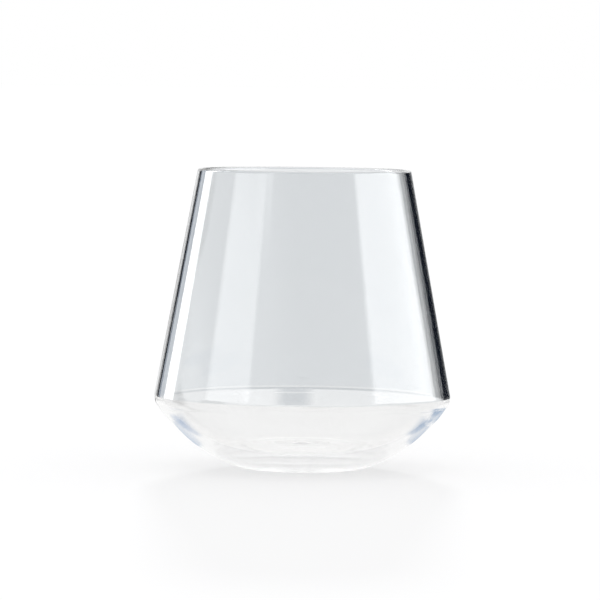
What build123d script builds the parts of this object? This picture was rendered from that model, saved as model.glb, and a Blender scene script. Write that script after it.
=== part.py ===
from build123d import *
import os
from math import atan2, degrees, sqrt

# A stemless wine glass of clear plastic: +Z up, origin on the table, on the axis of the glass, millimetres.
# The mouth is narrower than the shoulder, so no core can leave the inside in one piece. The glass is two open
# mouldings, a tapered side wall and a base bowl, welded by a tongue and groove at the widest ring.

# The whole glass
HEIGHT = 96.0  # table to the top of the lip
BODY_DIAMETER = 95.0  # across the shoulder, the widest ring
MOUTH_DIAMETER = 68.7  # across the outside of the lip
WALL = 1.9  # side wall, square to its surface, with a lip that is rounded all the way over

# Outside of the base bowl
SHOULDER_HEIGHT = 23.2  # table to the widest ring, where the two mouldings meet
SHOULDER_RADIUS = 5.8  # rounding of the shoulder
BELLY_RADIUS = 51.0  # arc from the shoulder down to the foot
FOOT_DIAMETER = 38.0  # where the belly and the table would meet, before rounding
FOOT_EDGE_RADIUS = 10.0  # rounding between the foot and the belly
RECESS_DIAMETER = 29.0  # shallow hollow inside the flat ring that stands on the table
RECESS_DEPTH = 0.4

# Inside of the base bowl
FLOOR_HEIGHT = 5.0  # table to the flat floor inside
FLOOR_DIAMETER = 46.5  # where the floor and the bowl meet, before rounding
FLOOR_EDGE_RADIUS = 14.0  # rounding between the floor and the bowl
BOWL_RADIUS = 44.0  # arc from the shoulder down to the floor, tighter than the belly: the wall thickens downwards
NUB_DIAMETER = 8.0  # low round mark that the filling gate left in the middle of the floor
NUB_HEIGHT = 0.6

# Weld at the shoulder
TONGUE_WIDTH = 0.6
TONGUE_LENGTH = 1.2
TONGUE_INSET = 0.45  # inside of the wall to the tongue
WELD_CLEARANCE = 0.03  # gap on each side of the tongue in its groove
MELT_HEIGHT = 0.4  # set melt between the end of the tongue and the bottom of the groove

# Places in the section, with X for the distance from the axis and Y for the height
shoulder_centre = Vector(BODY_DIAMETER / 2 - SHOULDER_RADIUS, SHOULDER_HEIGHT)
inner_shoulder_radius = SHOULDER_RADIUS - WALL
body_edge = shoulder_centre + Vector(SHOULDER_RADIUS, 0)
inner_edge = shoulder_centre + Vector(inner_shoulder_radius, 0)
lip_radius = WALL / 2
lip_centre = Vector(MOUTH_DIAMETER / 2 - lip_radius, HEIGHT - lip_radius)
foot_edge = Vector(FOOT_DIAMETER / 2, 0)
floor_edge = Vector(FLOOR_DIAMETER / 2, FLOOR_HEIGHT)
tongue_middle = inner_edge.X + TONGUE_INSET + TONGUE_WIDTH / 2


def direction_angle(start, end):
    """Angle of the line from start to end in the section, in degrees up from the horizontal."""
    return degrees(atan2(end.Y - start.Y, end.X - start.X))


def taper_angle():
    """Angle of the normal of the straight taper, which touches the rounding of the shoulder and of the lip."""
    span = lip_centre - shoulder_centre
    along = span.normalized()
    across = Vector(along.Y, -along.X)
    lean = (SHOULDER_RADIUS - lip_radius) / span.length
    return direction_angle(Vector(0, 0), along * lean + across * sqrt(1 - lean**2))


def bowl_middle(low_end, radius, rounding):
    """Centre of an arc that starts at low_end and runs smoothly into the shoulder's rounding."""
    span = low_end - shoulder_centre
    along = span.normalized()
    across = Vector(along.Y, -along.X)
    reach = radius - rounding
    step = (reach**2 - radius**2 + span.length**2) / (2 * span.length)
    return shoulder_centre + along * step + across * sqrt(reach**2 - step**2)


def swell(base, height, reach):
    """Rise from the height base to base + height at the axis, level at both ends, made of two equal arcs."""
    radius = (reach**2 / height + height) / 4
    top_centre = Vector(0, base + height - radius)
    low_centre = Vector(reach, base + radius)
    lean = direction_angle(top_centre, low_centre)
    top = CenterArc(top_centre, radius, lean, 90 - lean)
    CenterArc(low_centre, radius, lean + 180, 90 - lean)
    return top @ 1, low_centre - Vector(0, radius)


def tongue_section(width, length, top):
    """Upright strip of the section on the tongue's line, hanging down from the height top."""
    with Locations((tongue_middle, top)):
        return Rectangle(width, length, align=(Align.CENTER, Align.MAX), mode=Mode.PRIVATE)


def make_side_wall():
    """Tapered ring with a rounded lip and, under its lower edge, the tongue of the weld."""
    taper = taper_angle()
    with BuildSketch(Plane.XZ) as section:
        with BuildLine():
            outside = CenterArc(shoulder_centre, SHOULDER_RADIUS, 0, taper)
            inside = CenterArc(shoulder_centre, inner_shoulder_radius, 0, taper)
            lip = CenterArc(lip_centre, lip_radius, taper, 180)
            Line(outside @ 1, lip @ 0)
            Line(lip @ 1, inside @ 1)
            Line(inner_edge, body_edge)
        make_face()
        add(tongue_section(TONGUE_WIDTH, TONGUE_LENGTH, SHOULDER_HEIGHT))
    return revolve(section.sketch, Axis.Z)


def make_base_bowl():
    """Bowl that thickens towards its floor: belly, foot ring round a recess, floor with a nub, weld groove."""
    belly_centre = bowl_middle(foot_edge, BELLY_RADIUS, SHOULDER_RADIUS)
    foot_angle = direction_angle(belly_centre, foot_edge)
    belly_angle = direction_angle(belly_centre, shoulder_centre)
    bowl_centre = bowl_middle(floor_edge, BOWL_RADIUS, inner_shoulder_radius)
    floor_angle = direction_angle(bowl_centre, floor_edge)
    bowl_angle = direction_angle(bowl_centre, shoulder_centre)
    with BuildSketch(Plane.XZ) as section:
        with BuildLine():
            recess_top, foot_inner_edge = swell(0, RECESS_DEPTH, RECESS_DIAMETER / 2)
            Line(foot_inner_edge, foot_edge)
            CenterArc(belly_centre, BELLY_RADIUS, foot_angle, belly_angle - foot_angle)
            CenterArc(shoulder_centre, SHOULDER_RADIUS, belly_angle, -belly_angle)
            Line(body_edge, inner_edge)
            CenterArc(shoulder_centre, inner_shoulder_radius, bowl_angle, -bowl_angle)
            CenterArc(bowl_centre, BOWL_RADIUS, floor_angle, bowl_angle - floor_angle)
            nub_top, nub_edge = swell(FLOOR_HEIGHT, NUB_HEIGHT, NUB_DIAMETER / 2)
            Line(floor_edge, nub_edge)
            Line(nub_top, recess_top)
        make_face()
        corners = section.vertices()
        fillet(corners.sort_by_distance(floor_edge)[0], FLOOR_EDGE_RADIUS)
        corners = section.vertices()
        fillet(corners.sort_by_distance(foot_edge)[0], FOOT_EDGE_RADIUS)
        groove_width = TONGUE_WIDTH + 2 * WELD_CLEARANCE
        groove = tongue_section(groove_width, TONGUE_LENGTH + MELT_HEIGHT, SHOULDER_HEIGHT)
        add(groove, mode=Mode.SUBTRACT)
    return revolve(section.sketch, Axis.Z)


def make_weld_bead():
    """Ring of set melt that holds the end of the tongue to the bottom of the groove."""
    with BuildSketch(Plane.XZ) as section:
        add(tongue_section(TONGUE_WIDTH, MELT_HEIGHT, SHOULDER_HEIGHT - TONGUE_LENGTH))
    return revolve(section.sketch, Axis.Z)


os.makedirs("parts", exist_ok=True)
export_step(make_side_wall(), "parts/side_wall.step")
export_step(make_base_bowl(), "parts/base_bowl.step")
export_step(make_weld_bead(), "parts/weld_bead.step")
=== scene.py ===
import math

import bpy
from bpy.props import FloatProperty, FloatVectorProperty, PointerProperty
from bpy.types import Operator, Panel, PropertyGroup
from mathutils import Matrix, Vector


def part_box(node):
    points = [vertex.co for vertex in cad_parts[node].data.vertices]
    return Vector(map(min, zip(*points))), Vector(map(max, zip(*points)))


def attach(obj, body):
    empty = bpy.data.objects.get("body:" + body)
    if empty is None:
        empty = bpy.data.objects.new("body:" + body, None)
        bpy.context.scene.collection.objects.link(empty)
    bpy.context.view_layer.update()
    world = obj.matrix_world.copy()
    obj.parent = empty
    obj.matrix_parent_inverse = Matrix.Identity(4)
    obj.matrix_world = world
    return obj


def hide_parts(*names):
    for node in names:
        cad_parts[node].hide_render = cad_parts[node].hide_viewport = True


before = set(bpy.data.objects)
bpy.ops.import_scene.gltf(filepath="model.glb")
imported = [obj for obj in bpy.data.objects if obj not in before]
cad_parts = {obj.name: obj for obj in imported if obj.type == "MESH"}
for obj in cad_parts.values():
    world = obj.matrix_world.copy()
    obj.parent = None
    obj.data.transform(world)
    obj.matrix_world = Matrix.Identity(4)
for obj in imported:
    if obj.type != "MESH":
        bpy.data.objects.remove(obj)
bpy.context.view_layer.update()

bl_info = {
    "name": "Stemless Wine Glass",
    "version": (1, 0, 0),
    "blender": (4, 5, 0),
    "location": "3D View > Sidebar > Wine Glass",
    "description": "A clear stemless wine glass of two welded mouldings, in a plain white studio",
    "category": "Add Mesh",
}

MM = 0.001
WALL_LOW, WALL_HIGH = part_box("side_wall")
BOWL_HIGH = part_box("base_bowl")[1]
BEAD_LOW, BEAD_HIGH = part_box("weld_bead")

# Meshes
TURN_STEPS = 320  # flats round the glass, fine enough that refraction shows none
ARC_STEP = math.radians(3.0)
LONG_ARC_STEP = math.radians(1.0)
END_SHARE = 0.05  # short stretch at each end of an arc, as a share of a step
SHARP_ANGLE = math.radians(30)
SAME_PLACE = 1e-9  # points nearer to each other than this are one
ON_AXIS = 1e-7  # a ring narrower than this is one point on the axis
# Keeps the two sides of a weld face apart, so that a ray meets them one after the other
FACE_GAP = 0.004 * MM

# Plastic
RIPPLE_SCALE = 55
SMUDGE_SCALE = 38
SMUDGE_RANGE = (0.55, 0.8)  # noise at which the haze starts and is at its most
SCUFF_START = 0.3 * MM  # height at which the scuffs start to fade
FUSED_ROUGHNESS = 0.3
FUSED_ALPHA = 0.005

# Studio
WHITE = (1.0, 1.0, 1.0)
SENSOR_WIDTH = 36.0
CLIP_END = 100.0
THROUGH_RISE = (0.5, 0.8)  # upward part of a ray's direction, where the room behind changes
MIRROR_RISE = (0.14, 0.4)  # the same for the mirrored room
SQUARE = ((-1, -1), (1, -1), (1, 1), (-1, 1))
TABLE_HALF = 20.0
TABLE_COLOUR = (0.85, 0.85, 0.86)
TABLE_GLOW = 0.67  # share of plain white in the table that the camera sees
MAX_BOUNCES = 240  # enough for light that runs on inside the wall
TRANSMISSION_BOUNCES = 120
GLOSSY_BOUNCES = 200
TRANSPARENT_BOUNCES = 16

# Panels round the glass: flags stand at one distance, and cards lie one above the other
FLAG_DISTANCE = 0.33
FLAG_LOW, FLAG_HIGH = -0.01, 0.15
CARD_LEVEL = 0.2 * MM
LENS_LEVEL = 0.15 * MM
BAND_LEVEL = 0.1 * MM
PATCH_LEVEL = -0.05 * MM
TABLE_LEVEL = -0.1 * MM
# Round patch on the table under the foot, which glows brighter than the table: a painted pool of
# light that only the plastic shows
PATCH_RADIUS = 0.024
PATCH_TURNS = range(-85, 86, 10)  # degrees along each half of the round patch
PATCH_LIGHT = 1.2

# How often a ray was mirrored, or crossed a surface, for it to see a panel: fewest and most
NEVER = (0, 0)
ONCE = (1, 1)
BOX_RAYS = ((0, 3), (0, 2))  # mirrored and crossed, for softboxes
CARD_RAYS = ((1, 2), (0, 4))  # for the cards beside the base
EDGE_RAYS = ((1, 2), (0, 2))  # for the dark cards and flags of the other views


def length(name, description, default):
    """A size in metres that the sidebar shows in scene units."""
    return FloatProperty(
        name=name, description=description, default=default, unit="LENGTH", precision=5
    )


def angle(name, description, default):
    """An angle in radians that the sidebar shows in degrees."""
    return FloatProperty(name=name, description=description, default=default, subtype="ANGLE")


def amount(name, description, default):
    """A plain number, such as a strength or an index of refraction."""
    return FloatProperty(name=name, description=description, default=default, precision=4)


def colour(name, description, default):
    """A linear colour."""
    return FloatVectorProperty(
        name=name, description=description, default=default, subtype="COLOR", size=3
    )


class WallSizes(PropertyGroup):
    """Sizes of the tapered wall, its lip and the shoulder."""

    height: length("Height", "Table to the top of the lip", WALL_HIGH.z)
    body_diameter: length("Body", "Across the shoulder, the widest ring", 2 * WALL_HIGH.x)
    mouth_diameter: length("Mouth", "Across the outside of the lip", 68.7 * MM)
    thickness: length("Thickness", "Wall, square to its surface", 1.9 * MM)
    shoulder_height: length("Shoulder height", "Table to the widest ring", BOWL_HIGH.z)
    shoulder_radius: length("Shoulder radius", "Rounding of the shoulder", 5.8 * MM)


class BowlSizes(PropertyGroup):
    """Sizes of the base bowl, outside and inside."""

    belly_radius: length("Belly", "Arc from the shoulder down to the foot", 51.0 * MM)
    foot_diameter: length("Foot", "Where belly and table would meet, before rounding", 38.0 * MM)
    foot_edge_radius: length("Foot edge", "Rounding between the foot and the belly", 10.0 * MM)
    recess_diameter: length("Recess", "Shallow hollow inside the foot ring", 29.0 * MM)
    recess_depth: length("Recess depth", "Depth of the hollow at its middle", 0.4 * MM)
    floor_height: length("Floor height", "Table to the flat floor inside", 5.0 * MM)
    floor_diameter: length("Floor", "Where floor and bowl meet, before rounding", 46.5 * MM)
    floor_edge_radius: length("Floor edge", "Rounding between the floor and the bowl", 14.0 * MM)
    bowl_radius: length("Bowl", "Arc of the inside, from the shoulder to the floor", 44.0 * MM)
    nub_diameter: length("Nub", "Low round mark of the filling gate", 8.0 * MM)
    nub_height: length("Nub height", "Rise of the gate's mark", 0.6 * MM)


class WeldSizes(PropertyGroup):
    """Sizes of the tongue, the groove and the set melt between them."""

    tongue_width: length("Tongue", "Width of the tongue under the wall", 0.6 * MM)
    tongue_length: length(
        "Tongue length", "How far the tongue reaches down", BOWL_HIGH.z - WALL_LOW.z
    )
    tongue_radius: length("Tongue radius", "Axis to the outside of the tongue", BEAD_HIGH.x)
    clearance: length("Clearance", "Gap on each side of the tongue", 0.03 * MM)
    melt_height: length("Melt", "Set melt under the tongue", BEAD_HIGH.z - BEAD_LOW.z)


class PlasticFinish(PropertyGroup):
    """Look of the clear plastic."""

    # The wall's tint is darker than the base's, though both are the one clear plastic. Besides the
    # plastic's faint colour, it is painted shade that makes the wall grey
    wall_tint_and_shade: colour(
        "Wall tint", "What one crossing of the wall lets through", (0.824, 0.84, 0.852)
    )
    base_tint: colour(
        "Base tint", "What one crossing of the base lets through", (0.934, 0.934, 0.932)
    )
    ior: amount("IOR", "Index of refraction of clear copolyester", 1.5)
    wall_ripple: length("Wall ripple", "Height of the wall's faint moulding ripple", 0.012 * MM)
    base_ripple: length("Base ripple", "Height of the base's faint moulding ripple", 0.004 * MM)
    haze: amount("Haze", "Most roughness where fingers and cloths have been", 0.03)
    scuff: amount("Scuff", "Roughness of the underside, which tables have scuffed", 0.25)
    scuff_height: length("Scuff height", "How far up from the table the scuffs fade out", 1.2 * MM)


class StudioSettings(PropertyGroup):
    """Camera, cards and lights of the plain studio."""

    eye_distance: length("Eye distance", "Axis of the glass to the camera", 1.4593)
    eye_height: length("Eye height", "Table to the camera", 0.1305)
    lens: amount("Lens", "Focal length in millimetres on a 36 mm sensor", 273.2)
    pitch: angle("Pitch", "Downward tilt of the camera", 0.05236)
    yaw: angle("Yaw", "Turn of the camera to the left", 0.00072)
    roll: angle("Roll", "Lean of the picture", 0.0105)
    mirror_top: amount("Mirrored room", "Brightness that gloss sees high above the table", 0.25)
    through_top: amount(
        "Room behind", "Brightness that clear plastic sees high above the table", 1.32
    )
    right_box: amount("Right softbox", "Brightness of the softbox on the right", 3.6)
    left_box: amount("Left softbox", "Brightness of the softbox at the left front", 2.8)
    left_strip: amount("Left strip", "Brightness of the strip behind the left side", 6.0)
    back_light: amount("Back light", "Strength of the lamp behind, which only the table sees", 2.4)
    back_height: angle(
        "Back light height", "How far above the table the lamp behind stands", math.radians(17)
    )
    back_spread: angle("Back light spread", "How wide the lamp behind is", math.radians(6))
    card_colour: colour(
        "Flags", "Colour of the dark flags that draw the edges", (0.006, 0.008, 0.014)
    )
    edge_grey: colour(
        "Left flag's edge", "Grey beside the dark flag on the left", (0.42, 0.47, 0.54)
    )
    left_edge: amount(
        "Left edge", "Brightness of the light that the left outline mirrors", 0.8
    )
    lens_light: amount(
        "Lens light", "Brightness of the table behind, seen under the far shoulder", 1.08
    )
    # Painted shadow: greys of a bar and a tab that stand in for the glass's shadow on the table
    # behind it
    shadow_bar_grey: colour("Bar", "Grey of the bar on the table behind the glass", (0.75, 0.77, 0.79))
    shadow_tab_grey: colour("Tab", "Grey of the tab in front of the bar", (0.82, 0.84, 0.86))
    foot_band: amount(
        "Foot band", "Brightness that the light band at the foot mirrors from behind", 1.5
    )
    right_blue: colour(
        "Right card", "Colour of the card on the table right of the base", (0.24, 0.36, 0.53)
    )
    left_blue: colour(
        "Left card", "Colour of the card on the table left of the base", (0.37, 0.47, 0.63)
    )


class WineGlassSettings(PropertyGroup):
    """All settings of the wine glass and its studio."""

    wall: PointerProperty(type=WallSizes)
    bowl: PointerProperty(type=BowlSizes)
    weld: PointerProperty(type=WeldSizes)
    finish: PointerProperty(type=PlasticFinish)
    studio: PointerProperty(type=StudioSettings)


class Section:
    """A half section that is turned round the axis: points (radius, height) and weld faces."""

    def __init__(self):
        self.points = []
        self.welded = []

    def add(self, points, weld=False):
        """Appends points; the stretch that leads to each is a weld face where weld is set."""
        for point in points:
            if self.points and math.dist(point, self.points[-1]) < SAME_PLACE:
                continue
            self.points.append(point)
            self.welded.append(weld)


def arc(centre, radius, start, end, step=ARC_STEP):
    """Points of an arc in the section; a short stretch at each end keeps the slope there."""
    count = max(4, math.ceil(abs(end - start) / step))
    short = END_SHARE / count
    shares = [0, short] + [i / count for i in range(1, count)] + [1 - short, 1]
    angles = [start + (end - start) * share for share in shares]
    return [(centre[0] + radius * math.cos(a), centre[1] + radius * math.sin(a)) for a in angles]


def bearing(start, end):
    """Direction from start to end in the section, in radians up from the horizontal."""
    return math.atan2(end[1] - start[1], end[0] - start[0])


def swell(base, height, reach):
    """Rise from base to base + height at the axis, level at both ends, from the axis out."""
    radius = (reach**2 / height + height) / 4
    top = (0.0, base + height - radius)
    low = (reach, base + radius)
    lean = bearing(top, low)
    upper = arc(top, radius, math.pi / 2, lean, LONG_ARC_STEP)
    return upper + arc(low, radius, lean + math.pi, 1.5 * math.pi, LONG_ARC_STEP)


class GlassShape:
    """Centres and angles of the arcs in the section, worked out from the settings."""

    def __init__(self, settings):
        wall, bowl, weld = settings.wall, settings.bowl, settings.weld
        self.settings = settings
        self.lip_radius = wall.thickness / 2
        self.lip = (wall.mouth_diameter / 2 - self.lip_radius, wall.height - self.lip_radius)
        self.shoulder = (wall.body_diameter / 2 - wall.shoulder_radius, wall.shoulder_height)
        self.inner_radius = wall.shoulder_radius - wall.thickness
        self.taper = self.taper_angle()
        foot_edge = (bowl.foot_diameter / 2, 0.0)
        floor_edge = (bowl.floor_diameter / 2, bowl.floor_height)
        self.belly = self.bowl_middle(foot_edge, bowl.belly_radius, wall.shoulder_radius)
        self.inside = self.bowl_middle(floor_edge, bowl.bowl_radius, self.inner_radius)
        self.foot_round = self.edge_middle(
            self.belly, bowl.belly_radius, bowl.foot_edge_radius, 0.0
        )
        self.floor_round = self.edge_middle(
            self.inside, bowl.bowl_radius, bowl.floor_edge_radius, bowl.floor_height
        )
        self.tongue_out = weld.tongue_radius
        self.tongue_in = weld.tongue_radius - weld.tongue_width

    def taper_angle(self):
        """Direction of the taper's normal; the taper touches the shoulder's and lip's rounding."""
        span = Vector(self.lip) - Vector(self.shoulder)
        lean = (self.settings.wall.shoulder_radius - self.lip_radius) / span.length
        return bearing(self.shoulder, self.lip) - math.acos(lean)

    def bowl_middle(self, low_end, radius, rounding):
        """Centre of an arc from low_end that runs smoothly into the shoulder's rounding."""
        span = Vector(low_end) - Vector(self.shoulder)
        along = span.normalized()
        reach = radius - rounding
        step = (reach**2 - radius**2 + span.length_squared) / (2 * span.length)
        rise = math.sqrt(reach**2 - step**2)
        return (
            self.shoulder[0] + along.x * step + along.y * rise,
            self.shoulder[1] + along.y * step - along.x * rise,
        )

    def edge_middle(self, middle, radius, rounding, level):
        """Centre of the rounding between an arc and the level line below it."""
        drop = middle[1] - level - rounding
        return (middle[0] + math.sqrt((radius - rounding) ** 2 - drop**2), level + rounding)

    def wall_section(self):
        """Tapered wall with its lip on top and its tongue below, as one closed outline."""
        wall, weld = self.settings.wall, self.settings.weld
        land = wall.shoulder_height + FACE_GAP
        tip = wall.shoulder_height - weld.tongue_length
        section = Section()
        section.add(arc(self.shoulder, wall.shoulder_radius, 0.0, self.taper))
        section.add(arc(self.lip, self.lip_radius, self.taper, self.taper + math.pi))
        section.add(arc(self.shoulder, self.inner_radius, self.taper, 0.0))
        section.add([(self.tongue_in, land), (self.tongue_in, tip)], weld=True)
        section.add([(self.tongue_out, tip), (self.tongue_out, land)], weld=True)
        section.add([section.points[0]], weld=True)
        return section

    def bowl_section(self):
        """Base bowl from the middle of its recess up to the weld and down to the gate's mark."""
        wall, bowl, weld = self.settings.wall, self.settings.bowl, self.settings.weld
        land = wall.shoulder_height - FACE_GAP
        groove = wall.shoulder_height - weld.tongue_length - weld.melt_height
        groove_out = self.tongue_out + weld.clearance
        groove_in = self.tongue_in - weld.clearance
        foot_turn = bearing(self.belly, self.foot_round)
        belly_turn = bearing(self.belly, self.shoulder)
        inner_turn = bearing(self.inside, self.shoulder)
        floor_turn = bearing(self.inside, self.floor_round)
        down = -math.pi / 2
        section = Section()
        section.add(swell(0.0, bowl.recess_depth, bowl.recess_diameter / 2))
        section.add(arc(self.foot_round, bowl.foot_edge_radius, down, foot_turn, LONG_ARC_STEP))
        section.add(arc(self.belly, bowl.belly_radius, foot_turn, belly_turn, LONG_ARC_STEP))
        section.add(arc(self.shoulder, wall.shoulder_radius, belly_turn, 0.0))
        section.add([(groove_out, land), (groove_out, groove)], weld=True)
        section.add([(groove_in, groove), (groove_in, land)], weld=True)
        section.add([(self.shoulder[0] + self.inner_radius, self.shoulder[1])], weld=True)
        section.add(arc(self.shoulder, self.inner_radius, 0.0, inner_turn))
        section.add(arc(self.inside, bowl.bowl_radius, inner_turn, floor_turn, LONG_ARC_STEP))
        section.add(arc(self.floor_round, bowl.floor_edge_radius, floor_turn, down, LONG_ARC_STEP))
        section.add(reversed(swell(bowl.floor_height, bowl.nub_height, bowl.nub_diameter / 2)))
        return section

    def bead_section(self):
        """Ring of set melt between the end of the tongue and the bottom of the groove."""
        wall, weld = self.settings.wall, self.settings.weld
        top = wall.shoulder_height - weld.tongue_length - FACE_GAP
        bottom = wall.shoulder_height - weld.tongue_length - weld.melt_height + FACE_GAP
        inner, outer = self.tongue_in, self.tongue_out
        corners = [(inner, bottom), (outer, bottom), (outer, top), (inner, top)]
        section = Section()
        section.add(corners + corners[:1], weld=True)
        return section


def turned(name, section, materials):
    """Mesh object of the section turned round the axis.

    The second of the materials is for weld faces, and the first for all others.
    """
    verts, rings = [], []
    for radius, height in section.points:
        ring = len(verts)
        steps = TURN_STEPS if radius > ON_AXIS else 1
        for k in range(steps):
            turn = 2 * math.pi * k / steps
            verts.append((radius * math.cos(turn), radius * math.sin(turn), height))
        rings.append((ring, steps))
    if math.dist(section.points[0], section.points[-1]) < SAME_PLACE:
        del verts[rings[-1][0]:]
        rings[-1] = rings[0]
    faces, weld_faces = [], []
    for (low, low_steps), (high, high_steps), weld in zip(rings, rings[1:], section.welded[1:]):
        for k in range(TURN_STEPS):
            after = (k + 1) % TURN_STEPS
            corners = [low + k % low_steps, low + after % low_steps]
            corners += [high + after % high_steps, high + k % high_steps]
            faces.append(list(dict.fromkeys(corners)))
            weld_faces.append(int(weld))
    mesh = bpy.data.meshes.new(name)
    mesh.from_pydata(verts, [], faces)
    for material in materials:
        mesh.materials.append(material)
    mesh.polygons.foreach_set("material_index", weld_faces)
    mesh.shade_smooth()
    mesh.set_sharp_from_angle(angle=SHARP_ANGLE)
    mesh.validate()
    piece = bpy.data.objects.new(name, mesh)
    bpy.context.scene.collection.objects.link(piece)
    return piece


def add_node(tree, kind, **values):
    """A shader node with some of its inputs set by name."""
    node = tree.nodes.new(kind)
    for key, value in values.items():
        node.inputs[key].default_value = value
    return node


def ramp(tree, socket, start, end, low=0.0, high=1.0):
    """Socket that goes smoothly from low to high while the given one goes from start to end."""
    rise = tree.nodes.new("ShaderNodeMapRange")
    rise.interpolation_type = "SMOOTHSTEP"
    for name, value in (("From Min", start), ("From Max", end), ("To Min", low), ("To Max", high)):
        rise.inputs[name].default_value = value
    tree.links.new(socket, rise.inputs["Value"])
    return rise.outputs["Result"]


def clear_plastic(name, tint, height, finish):
    """Polished clear plastic with its mould's ripple, of that height, and the haze of handling."""
    material = bpy.data.materials.new(name)
    material.use_nodes = True
    tree = material.node_tree
    shader = tree.nodes["Principled BSDF"]
    shader.inputs["Base Color"].default_value = (*tint, 1)
    shader.inputs["Transmission Weight"].default_value = 1
    shader.inputs["IOR"].default_value = finish.ior
    place = tree.nodes.new("ShaderNodeTexCoord")
    ripple = add_node(tree, "ShaderNodeTexNoise", Scale=RIPPLE_SCALE, Detail=1, Roughness=0.4)
    tree.links.new(place.outputs["Object"], ripple.inputs["Vector"])
    bump = add_node(tree, "ShaderNodeBump", Strength=1, Distance=height)
    tree.links.new(ripple.outputs["Fac"], bump.inputs["Height"])
    tree.links.new(bump.outputs["Normal"], shader.inputs["Normal"])
    smudges = add_node(tree, "ShaderNodeTexNoise", Scale=SMUDGE_SCALE, Detail=3, Roughness=0.6)
    tree.links.new(place.outputs["Object"], smudges.inputs["Vector"])
    split = tree.nodes.new("ShaderNodeSeparateXYZ")
    tree.links.new(place.outputs["Object"], split.inputs[0])
    haze = ramp(tree, smudges.outputs["Fac"], *SMUDGE_RANGE, 0.0, finish.haze)
    scuffs = ramp(tree, split.outputs["Z"], SCUFF_START, finish.scuff_height, finish.scuff, 0.0)
    rough = tree.nodes.new("ShaderNodeMath")
    rough.operation = "MAXIMUM"
    tree.links.new(haze, rough.inputs[0])
    tree.links.new(scuffs, rough.inputs[1])
    tree.links.new(rough.outputs[0], shader.inputs["Roughness"])
    return material


def fused_plastic(name, tint, finish):
    """Faces where melt fused the plastic of both sides, so that next to nothing of them shows."""
    material = bpy.data.materials.new(name)
    material.use_nodes = True
    shader = material.node_tree.nodes["Principled BSDF"]
    shader.inputs["Base Color"].default_value = (*tint, 1)
    shader.inputs["IOR"].default_value = finish.ior
    shader.inputs["Roughness"].default_value = FUSED_ROUGHNESS
    shader.inputs["Alpha"].default_value = FUSED_ALPHA
    return material


def shared_material(name, make, *values):
    """The material of that name, made on first use."""
    return bpy.data.materials.get(name) or make(name, *values)


def weld_plastic(finish):
    """The fused plastic of all weld faces."""
    return shared_material("fused_plastic", fused_plastic, finish.base_tint, finish)


def place_piece(piece, node):
    """Puts a finished piece in place of its CAD node."""
    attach(piece, "root")
    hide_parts(node)


class WINEGLASS_OT_side_wall(Operator):
    """Turn the tapered side wall with its rounded lip and its weld tongue"""

    bl_idname = "wine_glass.side_wall"
    bl_label = "Side Wall"

    def execute(self, context):
        settings = context.scene.wine_glass
        finish = settings.finish
        clear = shared_material(
            "clear_wall_plastic", clear_plastic, finish.wall_tint_and_shade, finish.wall_ripple, finish
        )
        section = GlassShape(settings).wall_section()
        piece = turned("tapered_wall", section, [clear, weld_plastic(finish)])
        place_piece(piece, "side_wall")
        return {"FINISHED"}


class WINEGLASS_OT_base_bowl(Operator):
    """Turn the base bowl with its foot ring, its floor and the gate's mark"""

    bl_idname = "wine_glass.base_bowl"
    bl_label = "Base Bowl"

    def execute(self, context):
        settings = context.scene.wine_glass
        finish = settings.finish
        clear = shared_material(
            "clear_base_plastic", clear_plastic, finish.base_tint, finish.base_ripple, finish
        )
        section = GlassShape(settings).bowl_section()
        piece = turned("rounded_base", section, [clear, weld_plastic(finish)])
        place_piece(piece, "base_bowl")
        return {"FINISHED"}


class WINEGLASS_OT_weld_bead(Operator):
    """Turn the ring of set melt that holds the tongue in its groove"""

    bl_idname = "wine_glass.weld_bead"
    bl_label = "Weld Bead"

    def execute(self, context):
        settings = context.scene.wine_glass
        fused = weld_plastic(settings.finish)
        piece = turned("set_melt", GlassShape(settings).bead_section(), [fused, fused])
        place_piece(piece, "weld_bead")
        return {"FINISHED"}


def place_camera(studio):
    """The photograph's long lens, a little above the rim."""
    data = bpy.data.cameras.new("camera")
    data.sensor_width = SENSOR_WIDTH
    data.lens = studio.lens
    data.clip_end = CLIP_END
    camera = bpy.data.objects.new("camera", data)
    bpy.context.scene.collection.objects.link(camera)
    aim = Matrix.Rotation(studio.yaw, 4, "Z") @ Matrix.Rotation(math.pi / 2 - studio.pitch, 4, "X")
    eye = Matrix.Translation((0, -studio.eye_distance, studio.eye_height))
    camera.matrix_world = eye @ aim @ Matrix.Rotation(studio.roll, 4, "Z")
    bpy.context.scene.camera = camera


def light_path(tree, *kinds):
    """Socket that is 1 for rays of any of these kinds, and 0 for all others."""
    path = tree.nodes.new("ShaderNodeLightPath")
    socket = path.outputs[kinds[0]]
    for kind in kinds[1:]:
        either = tree.nodes.new("ShaderNodeMath")
        either.operation = "MAXIMUM"
        tree.links.new(socket, either.inputs[0])
        tree.links.new(path.outputs[kind], either.inputs[1])
        socket = either.outputs[0]
    return socket


def mixed(tree, share, first, second):
    """Shader that goes from first to second with the share, which is a socket or a number."""
    mix = tree.nodes.new("ShaderNodeMixShader")
    if isinstance(share, float):
        mix.inputs[0].default_value = share
    else:
        tree.links.new(share, mix.inputs[0])
    tree.links.new(first.outputs[0], mix.inputs[1])
    tree.links.new(second.outputs[0], mix.inputs[2])
    return mix


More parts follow.
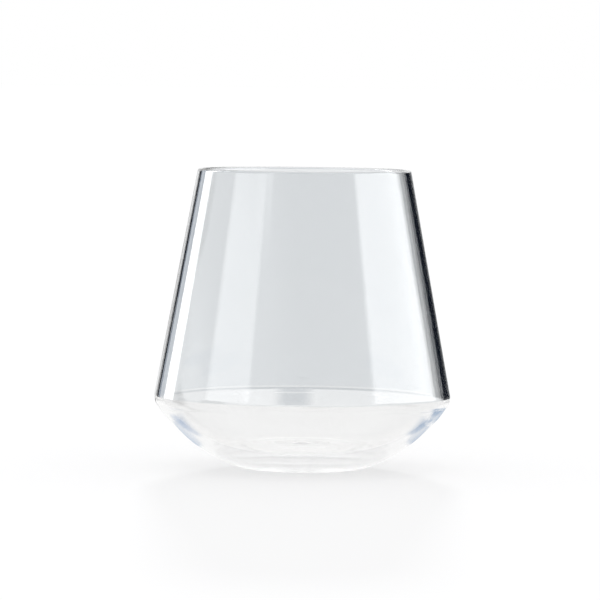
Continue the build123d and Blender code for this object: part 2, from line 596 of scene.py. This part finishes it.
def light_world(studio):
    """White all round; high up, gloss looks at a darker room and clear plastic at a lighter one."""
    world = bpy.data.worlds.new("white_studio")
    bpy.context.scene.world = world
    world.use_nodes = True
    tree = world.node_tree
    tree.nodes.clear()
    place = tree.nodes.new("ShaderNodeTexCoord")
    split = tree.nodes.new("ShaderNodeSeparateXYZ")
    tree.links.new(place.outputs["Generated"], split.inputs[0])
    white = add_node(tree, "ShaderNodeBackground", Color=(*WHITE, 1), Strength=1)
    through = add_node(tree, "ShaderNodeBackground", Color=(*WHITE, 1))
    mirrored = add_node(tree, "ShaderNodeBackground", Color=(*WHITE, 1))
    up = split.outputs["Z"]
    for room, rise, top in (
        (through, THROUGH_RISE, studio.through_top),
        (mirrored, MIRROR_RISE, studio.mirror_top),
    ):
        tree.links.new(ramp(tree, up, *rise, 1.0, top), room.inputs["Strength"])
    seen = mixed(tree, light_path(tree, "Is Glossy Ray"), white, mirrored)
    seen = mixed(tree, light_path(tree, "Is Transmission Ray"), seen, through)
    output = tree.nodes.new("ShaderNodeOutputWorld")
    tree.links.new(seen.outputs[0], output.inputs["Surface"])


def lay_table():
    """White table that keeps a faint shadow."""
    mesh = bpy.data.meshes.new("table")
    corners = [(x * TABLE_HALF, y * TABLE_HALF, TABLE_LEVEL) for x, y in SQUARE]
    mesh.from_pydata(corners, [], [(0, 1, 2, 3)])
    table = bpy.data.objects.new("table", mesh)
    bpy.context.scene.collection.objects.link(table)
    material = bpy.data.materials.new("white_table")
    material.use_nodes = True
    tree = material.node_tree
    tree.nodes.clear()
    matt = add_node(tree, "ShaderNodeBsdfDiffuse", Color=(*TABLE_COLOUR, 1))
    glow = add_node(tree, "ShaderNodeEmission", Color=(*WHITE, 1), Strength=1.0)
    bright = mixed(tree, TABLE_GLOW, matt, glow)
    surface = mixed(tree, light_path(tree, "Is Camera Ray"), matt, bright)
    surface = mixed(tree, light_path(tree, "Is Glossy Ray", "Is Transmission Ray"), surface, glow)
    output = tree.nodes.new("ShaderNodeOutputMaterial")
    tree.links.new(surface.outputs[0], output.inputs["Surface"])
    mesh.materials.append(material)


def product(tree, first, second):
    """Socket with the product of two others."""
    both = tree.nodes.new("ShaderNodeMath")
    both.operation = "MULTIPLY"
    tree.links.new(first, both.inputs[0])
    tree.links.new(second, both.inputs[1])
    return both.outputs[0]


def within(tree, socket, low, high):
    """Socket that is 1 where the given one is between low and high."""
    above = tree.nodes.new("ShaderNodeMath")
    above.operation = "GREATER_THAN"
    above.inputs[1].default_value = low
    tree.links.new(socket, above.inputs[0])
    below = tree.nodes.new("ShaderNodeMath")
    below.operation = "LESS_THAN"
    below.inputs[1].default_value = high
    tree.links.new(socket, below.inputs[0])
    return product(tree, above.outputs[0], below.outputs[0])


def panel_material(name, tint, strength, soft, mirrored=None, crossed=None, start=1.0):
    """Light, or a dark card where the tint is dark, that fades out towards the panel's rims.

    soft has the shares of the panel over which it fades at the first side, the second side and
    the two ends. With mirrored or crossed = (fewest, most) it shows only to rays that were
    mirrored, or went through a surface of clear plastic, that often on their way. start is the
    strength at the panel's first side, as a share of that at the second.
    """
    material = bpy.data.materials.new(name)
    material.use_nodes = True
    tree = material.node_tree
    tree.nodes.clear()
    place = tree.nodes.new("ShaderNodeTexCoord")
    split = tree.nodes.new("ShaderNodeSeparateXYZ")
    tree.links.new(place.outputs["UV"], split.inputs[0])
    first, second, ends = soft
    cover = ramp(tree, split.outputs["X"], 0.0, first)
    for axis, rim, full in (("X", 1.0, 1.0 - second), ("Y", 0.0, ends), ("Y", 1.0, 1.0 - ends)):
        cover = product(tree, cover, ramp(tree, split.outputs[axis], rim, full))
    path = tree.nodes.new("ShaderNodeLightPath")
    for depth, limits in (("Glossy Depth", mirrored), ("Transmission Depth", crossed)):
        if limits:
            fewest, most = limits
            allowed = within(tree, path.outputs[depth], fewest - 0.5, most + 0.5)
            cover = product(tree, cover, allowed)
    clear = tree.nodes.new("ShaderNodeBsdfTransparent")
    glow = add_node(tree, "ShaderNodeEmission", Color=(*tint, 1))
    level = ramp(tree, split.outputs["X"], 0.0, 1.0, start * strength, strength)
    tree.links.new(level, glow.inputs["Strength"])
    surface = mixed(tree, cover, clear, glow)
    output = tree.nodes.new("ShaderNodeOutputMaterial")
    tree.links.new(surface.outputs[0], output.inputs["Surface"])
    return material


def hang_panel(name, first, second, material, through=True):
    """Panel between two rows of points, seen by gloss and, with through, by clear plastic too."""
    count = len(first)
    mesh = bpy.data.meshes.new(name)
    faces = [(i, count + i, count + i + 1, i + 1) for i in range(count - 1)]
    mesh.from_pydata(first + second, [], faces)
    layer = mesh.uv_layers.new(name="across")
    for loop in mesh.loops:
        side, row = divmod(loop.vertex_index, count)
        layer.data[loop.index].uv = (side, row / (count - 1))
    mesh.materials.append(material)
    panel = bpy.data.objects.new(name, mesh)
    bpy.context.scene.collection.objects.link(panel)
    panel.visible_camera = False
    panel.visible_diffuse = False
    panel.visible_shadow = False
    panel.visible_transmission = through


def light_panel(
    name, sides, tint, strength, soft, mirrored=None, crossed=None, start=1.0, through=True
):
    """Panel between two sides with a material of its own, which has the panel's name."""
    material = panel_material(name, tint, strength, soft, mirrored, crossed, start)
    hang_panel(name, *sides, material, through)


def bearing_point(degrees, distance, height):
    """Point at that bearing from the glass: 0 straight behind it, positive to the right."""
    turn = math.radians(degrees)
    return (distance * math.sin(turn), distance * math.cos(turn), height)


def standing(degrees, distance, low, high):
    """Upright edge of a panel."""
    return [bearing_point(degrees, distance, low), bearing_point(degrees, distance, high)]


def flag_sides(first, second, low=FLAG_LOW, high=FLAG_HIGH):
    """Both sides of a flag, from one bearing to another."""
    return [standing(degrees, FLAG_DISTANCE, low, high) for degrees in (first, second)]


def card_sides(left, right, near, far, level=CARD_LEVEL):
    """Both sides of a card on the table, from near the camera to far from it."""
    return [[(across, near, level), (across, far, level)] for across in (left, right)]


def half_round(side, radius, level):
    """Edge of a round card on the table: its left half for side -1, its right half for side 1."""
    turns = [math.radians(degrees) for degrees in PATCH_TURNS]
    return [(side * radius * math.cos(turn), radius * math.sin(turn), level) for turn in turns]


def sighted(away, places):
    """Edge of a card on the table, through places (right, beyond) of a look along a bearing."""
    cosine, sine = math.cos(math.radians(away)), math.sin(math.radians(away))
    return [
        (right * cosine + beyond * sine, beyond * cosine - right * sine, CARD_LEVEL)
        for right, beyond in places
    ]


def hang_softboxes(studio):
    """Softboxes and a strip that the walls mirror."""
    sides = standing(66.5, 0.163, 0.02, 0.26), standing(130.5, 0.197, 0.042, 0.26)
    soft = (0.02, 0.12, 0.02)
    light_panel("right_softbox", sides, WHITE, studio.right_box, soft, *BOX_RAYS, start=0.8)
    # Name, share of the left softbox's strength, softness, and bearing, distance, low and high
    # edge of both sides
    for name, share, soft, first, second in (
        ("left_softbox", 1.0, (0.1, 0.1, 0.4), (-141, 0.42, 0.0, 0.28), (-100, 0.42, 0.0, 0.28)),
        ("left_fill", 0.8, (0.1, 0.02, 0.15), (-148, 0.44, 0.16, 0.42), (-130, 0.44, 0.1, 0.42)),
        ("front_glow", 0.4, (0.7, 0.02, 0.35), (-178, 0.46, 0.0, 0.26), (-130, 0.46, 0.0, 0.26)),
        ("left_low", 0.55, (0.6, 0.05, 0.4), (-60, 0.42, 0.0, 0.14), (-103, 0.42, 0.0, 0.14)),
    ):
        sides = standing(*first), standing(*second)
        light_panel(name, sides, WHITE, share * studio.left_box, soft, *BOX_RAYS)
    sides = standing(-69, 0.3, 0.0, 0.4), standing(-51.5, 0.3, 0.0, 0.4)
    light_panel("left_strip", sides, WHITE, studio.left_strip, (0.12, 0.12, 0.05), through=False)


def hang_flags(studio):
    """Dark and grey flags behind the sides, which draw the wall's edges."""
    dark, grey = studio.card_colour, studio.edge_grey
    # Name, colour, softness, times mirrored, surfaces crossed, bearings of both sides
    for name, tint, soft, mirrored, crossed, first, second in (
        ("right_flag", dark, (0.2, 0.03, 0.02), (0, 6), None, 12, 50),
        ("left_flag", dark, (0.05, 0.05, 0.02), (0, 1), (1, 2), -33, -23),
        ("left_core", dark, (0.05, 0.05, 0.02), (2, 6), (1, 2), -31, -13),
        ("left_grey", grey, (0.1, 0.02, 0.02), (0, 6), (1, 4), -46, -33),
        ("left_rear", grey, (0.1, 0.1, 0.02), (0, 1), (3, 4), -33, -19),
        ("left_line", dark, (0.05, 0.05, 0.02), ONCE, NEVER, -42, -33),
    ):
        light_panel(name, flag_sides(first, second), tint, 1.0, soft, mirrored, crossed)
    sides = flag_sides(-33, -8, low=0.0)
    light_panel("left_edge", sides, WHITE, studio.left_edge, (0.05, 0.3, 0.02), ONCE, NEVER)


def lay_cards(studio):
    """Cards on the table, which draw the patches, bands and lines in the base. The white ones glow
    and are painted light, and the grey bar and tab are a painted shadow of the glass on the table
    behind it.
    """
    # Name, colour, softness, left, right, near and far edge
    for name, tint, soft, *edges in (
        ("right_card", studio.right_blue, (0.2, 0.25, 0.2), 0.038, 0.057, -0.005, 0.046),
        ("right_edge", studio.right_blue, (0.25, 0.25, 0.15), 0.053, 0.074, 0.01, 0.11),
        ("left_card", studio.left_blue, (0.2, 0.15, 0.2), -0.057, -0.035, -0.005, 0.046),
    ):
        light_panel(name, card_sides(*edges), tint, 1.0, soft, *CARD_RAYS)
    # Painted pool of light: a round glowing patch on the table under the foot, seen only through
    # and in the plastic
    sides = [half_round(side, PATCH_RADIUS, PATCH_LEVEL) for side in (-1, 1)]
    light_panel("foot_patch", sides, WHITE, PATCH_LIGHT, (0.2, 0.2, 0.2))
    sides = card_sides(-0.1, 0.1, 0.015, 0.3, BAND_LEVEL)
    light_panel("foot_band", sides, WHITE, studio.foot_band, (0.05, 0.05, 0.02), (5, 6), (2, 4))
    # Painted pool of light: a glowing card on the table behind the glass, seen only by rays that
    # crossed four surfaces of plastic
    sides = card_sides(-0.028, 0.035, 0.17, 0.275, LENS_LEVEL)
    soft = (0.12, 0.12, 0.12)
    light_panel("lens_light", sides, WHITE, studio.lens_light, soft, NEVER, (4, 4), start=1.05)
    # Painted shadow: a grey bar and tab on the table behind the glass darken the table there as the
    # glass's shadow would. Only rays through the plastic see them, never a mirror
    sides = card_sides(-0.1, 0.1, 0.266, 0.335)
    light_panel("painted_shadow_bar", sides, studio.shadow_bar_grey, 1.0, (0.1, 0.1, 0.1), NEVER)
    sides = card_sides(-0.013, 0.006, 0.185, 0.28)
    light_panel("painted_shadow_tab", sides, studio.shadow_tab_grey, 1.0, (0.35, 0.35, 0.25), NEVER)


def lay_edge_cards(studio):
    """Dark cards and low flags, which the wall's edges mirror to cameras beside and behind it."""
    dark = panel_material("edge_card", studio.card_colour, 1.0, (0.2, 0.3, 0.1), *EDGE_RAYS)
    # Name, bearing of the look, and the inner and outer edge through two places each
    for name, away, inner, outer in (
        ("above", -45, ((0.056, 0.057), (0.065, 0.216)), ((0.087, 0.063), (0.183, 0.238))),
        ("behind", 135, ((0.060, 0.085), (0.078, 0.270)), ((0.117, 0.110), (0.211, 0.270))),
    ):
        for side, sign in (("left", -1), ("right", 1)):
            sides = [
                sighted(away, [(sign * right, beyond) for right, beyond in places])
                for places in (inner, outer)
            ]
            hang_panel(f"{name}_{side}_card", *sides, dark)
    hang_panel("side_left_flag", *flag_sides(-97, -126, high=0.08), dark)
    hang_panel("side_right_flag", *flag_sides(-84, -69, high=0.068), dark)


def hang_back_light(studio):
    """Low lamp far behind, which only the table sees: it draws the glass's faint long shadow."""
    data = bpy.data.lights.new("back_light", "SUN")
    data.energy = studio.back_light
    data.angle = studio.back_spread
    lamp = bpy.data.objects.new("back_light", data)
    bpy.context.scene.collection.objects.link(lamp)
    lamp.rotation_euler = (studio.back_height - math.pi / 2, 0, 0)
    lamp.visible_camera = lamp.visible_glossy = lamp.visible_transmission = False


class WINEGLASS_OT_studio(Operator):
    """Set the camera, the white table and the studio light"""

    bl_idname = "wine_glass.studio"
    bl_label = "Studio"

    def execute(self, context):
        studio = context.scene.wine_glass.studio
        scene = context.scene
        scene.view_settings.view_transform = "Standard"
        scene.cycles.max_bounces = MAX_BOUNCES
        scene.cycles.transmission_bounces = TRANSMISSION_BOUNCES
        scene.cycles.glossy_bounces = GLOSSY_BOUNCES
        scene.cycles.transparent_max_bounces = TRANSPARENT_BOUNCES
        place_camera(studio)
        light_world(studio)
        lay_table()
        hang_softboxes(studio)
        hang_flags(studio)
        lay_cards(studio)
        lay_edge_cards(studio)
        hang_back_light(studio)
        return {"FINISHED"}


class WINEGLASS_PT_sidebar(Panel):
    """Lists the settings and the steps that make the wine glass"""

    bl_idname = "WINEGLASS_PT_sidebar"
    bl_label = "Wine Glass"
    bl_space_type = "VIEW_3D"
    bl_region_type = "UI"
    bl_category = "Wine Glass"

    def draw(self, context):
        settings = context.scene.wine_glass
        sizes = (settings.wall, settings.bowl, settings.weld)
        for group in sizes + (settings.finish, settings.studio):
            box = self.layout.box()
            for name in group.__annotations__:
                box.prop(group, name)
        for step in STEPS:
            self.layout.operator(step.bl_idname)


STEPS = (
    WINEGLASS_OT_side_wall,
    WINEGLASS_OT_base_bowl,
    WINEGLASS_OT_weld_bead,
    WINEGLASS_OT_studio,
)
GROUPS = (WallSizes, BowlSizes, WeldSizes, PlasticFinish, StudioSettings, WineGlassSettings)


def register():
    for item in GROUPS + STEPS + (WINEGLASS_PT_sidebar,):
        bpy.utils.register_class(item)
    bpy.types.Scene.wine_glass = PointerProperty(type=WineGlassSettings)


def unregister():
    del bpy.types.Scene.wine_glass
    for item in reversed(GROUPS + STEPS + (WINEGLASS_PT_sidebar,)):
        bpy.utils.unregister_class(item)


def main():
    register()
    bpy.ops.wine_glass.side_wall()
    bpy.ops.wine_glass.base_bowl()
    bpy.ops.wine_glass.weld_bead()
    bpy.ops.wine_glass.studio()


if __name__ == "__main__":
    main()
